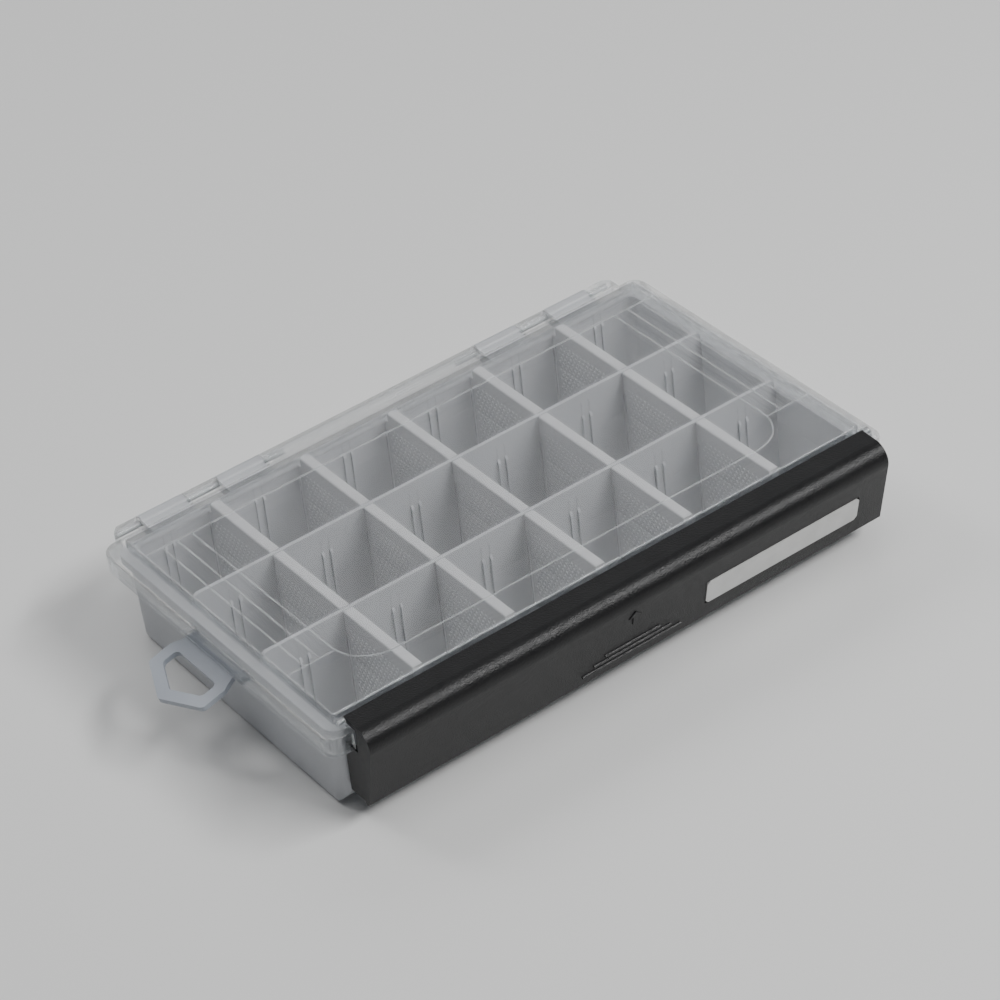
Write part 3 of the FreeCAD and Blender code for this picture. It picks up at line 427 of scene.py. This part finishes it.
def rod_plastic(name):
    finish, tree, shader = new_finish(name)
    drawn = place_noise(tree, ROD_STREAK_SCALE, DETAIL_FINE, ROD_STRETCH)
    shade_between(tree, drawn, ROD_DARK, ROD_LIGHT, shader.inputs["Base Color"])
    range_between(tree, drawn, ROD_ROUGHNESS, shader.inputs["Roughness"])
    shader.inputs["Transmission Weight"].default_value = ROD_PASSING
    return finish


strip_finish = strip_plastic("pale_label")
pin_finish = rod_plastic("pale_pin")
print("small finishes:", strip_finish.name, pin_finish.name)

# %% [markdown]
# Every solid now gets its plastic. The solids could be copied and modelled again, but their shapes are
# right, so they stay as the CAD made them and only their material slots change.

# %% Dress the solids
FINISHES = {"tray": tray_finish, "lid": lid_finish, "latch": latch_finish, "label_strip": strip_finish,
            "hang_loop": loop_painted_shade_finish}
dividers = [name for name in nodes if name.startswith("divider")]
for name, solid in nodes.items():
    if name in dividers:
        finish = divider_finish
    elif "pin" in name:
        finish = pin_finish
    else:
        finish = FINISHES[name]
    solid.data.materials.clear()
    solid.data.materials.append(finish)
print("dressed:", len(nodes), "of them dividers:", len(dividers))

# %% [markdown]
# Some moulded details repeat many times. A loop could copy them, but Geometry Nodes do the repeating
# themselves and keep the sizes as named inputs. A tree grows on a small guide mesh, and the result
# becomes a plain mesh that rides on one body, because the export drops live instances.

# %% Helpers for growing details
Z_AXIS_TO_X = (0, math.pi / 2, 0)


def new_tree(name, size_names):
    tree = bpy.data.node_groups.new(name, "GeometryNodeTree")
    tree.interface.new_socket("Geometry", in_out="INPUT", socket_type="NodeSocketGeometry")
    for size_name in size_names:
        tree.interface.new_socket(size_name, in_out="INPUT", socket_type="NodeSocketFloat")
    tree.interface.new_socket("Geometry", in_out="OUTPUT", socket_type="NodeSocketGeometry")
    return tree, tree.nodes.new("NodeGroupInput"), tree.nodes.new("NodeGroupOutput")


def calculate(tree, operation, first, second=0):
    step = tree.nodes.new("ShaderNodeMath")
    step.operation = operation
    for place, value in enumerate((first, second)):
        if isinstance(value, (int, float)):
            step.inputs[place].default_value = value
        else:
            tree.links.new(value, step.inputs[place])
    return step.outputs["Value"]


def close_tree(tree, instances, finish, end):
    realize = tree.nodes.new("GeometryNodeRealizeInstances")
    paint = tree.nodes.new("GeometryNodeSetMaterial")
    paint.inputs["Material"].default_value = finish
    tree.links.new(instances, realize.inputs["Geometry"])
    tree.links.new(realize.outputs["Geometry"], paint.inputs["Geometry"])
    tree.links.new(paint.outputs["Geometry"], end.inputs["Geometry"])


def grow(name, guide, tree, sizes, finish, body, slot):
    piece = bpy.data.objects.new(name, guide)
    bpy.context.scene.collection.objects.link(piece)
    modifier = piece.modifiers.new("grow", "NODES")
    modifier.node_group = tree
    for socket in tree.interface.items_tree:
        if socket.in_out == "INPUT" and socket.name in sizes:
            modifier[socket.identifier] = sizes[socket.name]
    bpy.context.view_layer.update()
    grown = bpy.data.meshes.new_from_object(piece.evaluated_get(bpy.context.evaluated_depsgraph_get()))
    piece.modifiers.remove(modifier)
    piece.data = grown
    piece.data.materials.clear()
    piece.data.materials.append(finish)
    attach(piece, body)
    print(name, "faces:", len(grown.polygons))


print("growing helpers:", [helper.__name__ for helper in (new_tree, calculate, close_tree, grow)])

# %% [markdown]
# Both faces of every divider carry a field of small raised dots, set in staggered rows. A bump in the
# material would be lost from the exported mesh, so each dot is a low cone with its tip cut off. The
# dots stop short of the edges, so a smooth band stays under the top. The tree grows one field and
# copies it to all the faces, a hair below the surface so that each dot is rooted in its plate.

# %% The tree for the dots
DOT_SIDES = 6
DOT_TOP_SHARE = 0.5
ROW_SHARE = math.sqrt(0.75)


def dot_tree(finish):
    tree, start, end = new_tree("dot_field", ["Width", "Height", "Pitch", "Radius", "Rise"])
    pitch = start.outputs["Pitch"]
    row_pitch = calculate(tree, "MULTIPLY", pitch, ROW_SHARE)
    rows = calculate(tree, "FLOOR", calculate(tree, "DIVIDE", start.outputs["Height"], row_pitch))
    columns = calculate(tree, "FLOOR", calculate(tree, "DIVIDE", start.outputs["Width"], pitch))
    field_height = calculate(tree, "MULTIPLY", rows, row_pitch)
    grid = tree.nodes.new("GeometryNodeMeshGrid")
    tree.links.new(field_height, grid.inputs["Size X"])
    tree.links.new(calculate(tree, "MULTIPLY", columns, pitch), grid.inputs["Size Y"])
    tree.links.new(calculate(tree, "ADD", rows, 1), grid.inputs["Vertices X"])
    tree.links.new(calculate(tree, "ADD", columns, 1), grid.inputs["Vertices Y"])
    place = tree.nodes.new("GeometryNodeInputPosition")
    parts = tree.nodes.new("ShaderNodeSeparateXYZ")
    tree.links.new(place.outputs["Position"], parts.inputs["Vector"])
    from_edge = calculate(tree, "ADD", parts.outputs["X"], calculate(tree, "MULTIPLY", field_height, 0.5))
    row = calculate(tree, "ROUND", calculate(tree, "DIVIDE", from_edge, row_pitch))
    odd = calculate(tree, "SUBTRACT", calculate(tree, "MODULO", row, 2), 0.5)
    shift = tree.nodes.new("ShaderNodeCombineXYZ")
    stagger_by = calculate(tree, "MULTIPLY", calculate(tree, "MULTIPLY", odd, pitch), 0.5)
    tree.links.new(stagger_by, shift.inputs["Y"])
    stagger = tree.nodes.new("GeometryNodeSetPosition")
    tree.links.new(grid.outputs["Mesh"], stagger.inputs["Geometry"])
    tree.links.new(shift.outputs["Vector"], stagger.inputs["Offset"])
    dot = tree.nodes.new("GeometryNodeMeshCone")
    dot.inputs["Vertices"].default_value = DOT_SIDES
    tree.links.new(start.outputs["Radius"], dot.inputs["Radius Bottom"])
    top_radius = calculate(tree, "MULTIPLY", start.outputs["Radius"], DOT_TOP_SHARE)
    tree.links.new(top_radius, dot.inputs["Radius Top"])
    tree.links.new(start.outputs["Rise"], dot.inputs["Depth"])
    field = tree.nodes.new("GeometryNodeInstanceOnPoints")
    tree.links.new(stagger.outputs["Geometry"], field.inputs["Points"])
    tree.links.new(dot.outputs["Mesh"], field.inputs["Instance"])
    upright = tree.nodes.new("GeometryNodeTransform")
    upright.inputs["Rotation"].default_value = Z_AXIS_TO_X
    tree.links.new(field.outputs["Instances"], upright.inputs["Geometry"])
    turn = tree.nodes.new("GeometryNodeInputNamedAttribute")
    turn.data_type = "FLOAT_VECTOR"
    turn.inputs["Name"].default_value = "turn"
    copies = tree.nodes.new("GeometryNodeInstanceOnPoints")
    tree.links.new(start.outputs["Geometry"], copies.inputs["Points"])
    tree.links.new(upright.outputs["Geometry"], copies.inputs["Instance"])
    tree.links.new(turn.outputs["Attribute"], copies.inputs["Rotation"])
    close_tree(tree, copies.outputs["Instances"], finish, end)
    return tree


dots = dot_tree(dot_painted_highlight_finish)
print("dot tree nodes:", len(dots.nodes))

# %% [markdown]
# The guide for the dots is one point in the middle of each divider's face. A turn is stored on each
# point, because the dots on a plate's left face have to look the other way. All dividers are alike in
# height and width, so the first one gives the size of the field.

# %% Dots on the dividers
DOT_PITCH = 2.2 * MM
DOT_RADIUS = 0.7 * MM
DOT_RISE = 0.3 * MM
DOT_SINK = 0.06 * MM
SMOOTH_TOP = 5.5 * MM
SMOOTH_SIDE = 3.2 * MM
SMOOTH_FOOT = 4.6 * MM
LEFT_TURN = (0, 0, math.pi)
RIGHT_TURN = (0, 0, 0)

spots = []
turns = []
for name in dividers:
    low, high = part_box(name)
    middle = (Vector(low) + Vector(high)) / 2
    middle.z -= SMOOTH_TOP / 2 - SMOOTH_FOOT / 2
    spots.append((low[0] + DOT_SINK, middle.y, middle.z))
    spots.append((high[0] - DOT_SINK, middle.y, middle.z))
    turns += LEFT_TURN + RIGHT_TURN
guide = bpy.data.meshes.new("divider_faces")
guide.from_pydata(spots, [], [])
guide.attributes.new("turn", "FLOAT_VECTOR", "POINT").data.foreach_set("vector", turns)
low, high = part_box(dividers[0])
dot_sizes = {"Width": high[1] - low[1] - 2 * SMOOTH_SIDE,
             "Height": high[2] - low[2] - SMOOTH_TOP - SMOOTH_FOOT,
             "Pitch": DOT_PITCH, "Radius": DOT_RADIUS, "Rise": DOT_RISE}
grow("divider_dots", guide, dots, dot_sizes, dot_painted_highlight_finish, "tray", "milky_divider")

# %% [markdown]
# The long middle lug of the hinge has a few fine ridges along it, for the thumb that steadies the lid.
# They could be cut into the solid, but they are too fine to matter there. A tree repeats one thin round
# bar across the lug, sunk in its top by half.

# %% Ridges on the middle lug
RIDGE_SIZES = {"Length": 90.0 * MM, "Pitch": 1.35 * MM, "Radius": 0.35 * MM}
RIDGES = 4
RIDGE_SIDES = 8
RIDGE_START = 68.6 * MM
LUG_TOP = 37.8 * MM


def ridge_tree(finish):
    tree, start, end = new_tree("lug_ridges", ["Length", "Pitch", "Radius"])
    step = tree.nodes.new("ShaderNodeCombineXYZ")
    tree.links.new(start.outputs["Pitch"], step.inputs["Y"])
    line = tree.nodes.new("GeometryNodeMeshLine")
    line.inputs["Count"].default_value = RIDGES
    tree.links.new(step.outputs["Vector"], line.inputs["Offset"])
    bar = tree.nodes.new("GeometryNodeMeshCylinder")
    bar.inputs["Vertices"].default_value = RIDGE_SIDES
    tree.links.new(start.outputs["Radius"], bar.inputs["Radius"])
    tree.links.new(start.outputs["Length"], bar.inputs["Depth"])
    lie = tree.nodes.new("GeometryNodeTransform")
    lie.inputs["Rotation"].default_value = Z_AXIS_TO_X
    tree.links.new(bar.outputs["Mesh"], lie.inputs["Geometry"])
    bars = tree.nodes.new("GeometryNodeInstanceOnPoints")
    tree.links.new(line.outputs["Mesh"], bars.inputs["Points"])
    tree.links.new(lie.outputs["Geometry"], bars.inputs["Instance"])
    copies = tree.nodes.new("GeometryNodeInstanceOnPoints")
    tree.links.new(start.outputs["Geometry"], copies.inputs["Points"])
    tree.links.new(bars.outputs["Instances"], copies.inputs["Instance"])
    close_tree(tree, copies.outputs["Instances"], finish, end)
    return tree


guide = bpy.data.meshes.new("lug_start")
guide.from_pydata([(0, RIDGE_START, LUG_TOP)], [], [])
grow("lug_ridges", guide, ridge_tree(lid_finish), RIDGE_SIZES, lid_finish, "lid", "clear_lid")

# %% [markdown]
# A raised arrow on the latch shows which way it lifts. Its outline is drawn in shares of its size,
# given a little thickness and softened at the top edges. A ray from the front finds the leaning face,
# so the arrow lies on it whatever its lean, with half of its thickness sunk in the latch.

# %% Arrow on the latch
ARROW_HEIGHT = 28.0 * MM
ARROW_RISE = 0.35 * MM
ARROW_SIZE = 5.0 * MM
ARROW_SOFT = 0.25 * MM
ARROW_STEPS = 2
ARROW_SHARES = ((0, 0.6), (0.55, 0.05), (0.2, 0.05), (0.2, -0.6),
                (-0.2, -0.6), (-0.2, 0.05), (-0.55, 0.05))


def raised_arrow(name, finish):
    hit, place, normal, _ = nodes["latch"].ray_cast((0, -1, ARROW_HEIGHT), (0, 1, 0))
    across = Vector((1, 0, 0))
    up = normal.cross(across).normalized()
    foot_middle = place - normal * ARROW_RISE
    shape = bmesh.new()
    foot = [shape.verts.new(foot_middle + ARROW_SIZE * (u * across + v * up)) for u, v in ARROW_SHARES]
    face = shape.faces.new(foot)
    raised = bmesh.ops.extrude_face_region(shape, geom=[face])["geom"]
    tops = [part for part in raised if isinstance(part, bmesh.types.BMVert)]
    bmesh.ops.translate(shape, verts=tops, vec=2 * ARROW_RISE * normal)
    rims = [edge for edge in shape.edges if all(corner in tops for corner in edge.verts)]
    bmesh.ops.bevel(shape, geom=rims, offset=ARROW_SOFT, segments=ARROW_STEPS, profile=0.5, affect="EDGES")
    bmesh.ops.recalc_face_normals(shape, faces=shape.faces)
    mesh = bpy.data.meshes.new(name)
    shape.to_mesh(mesh)
    shape.free()
    mesh.materials.append(finish)
    piece = bpy.data.objects.new(name, mesh)
    bpy.context.scene.collection.objects.link(piece)
    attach(piece, "latch")
    print("arrow at mm:", [round(v / MM, 1) for v in place], "hit:", hit)


raised_arrow("lift_arrow", latch_finish)

# %% [markdown]
# Last, the box of the solids and the box of the whole visual model are written down side by side, to
# see that no detail sticks out.

# %% Keep the sizes and finish
low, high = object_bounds()
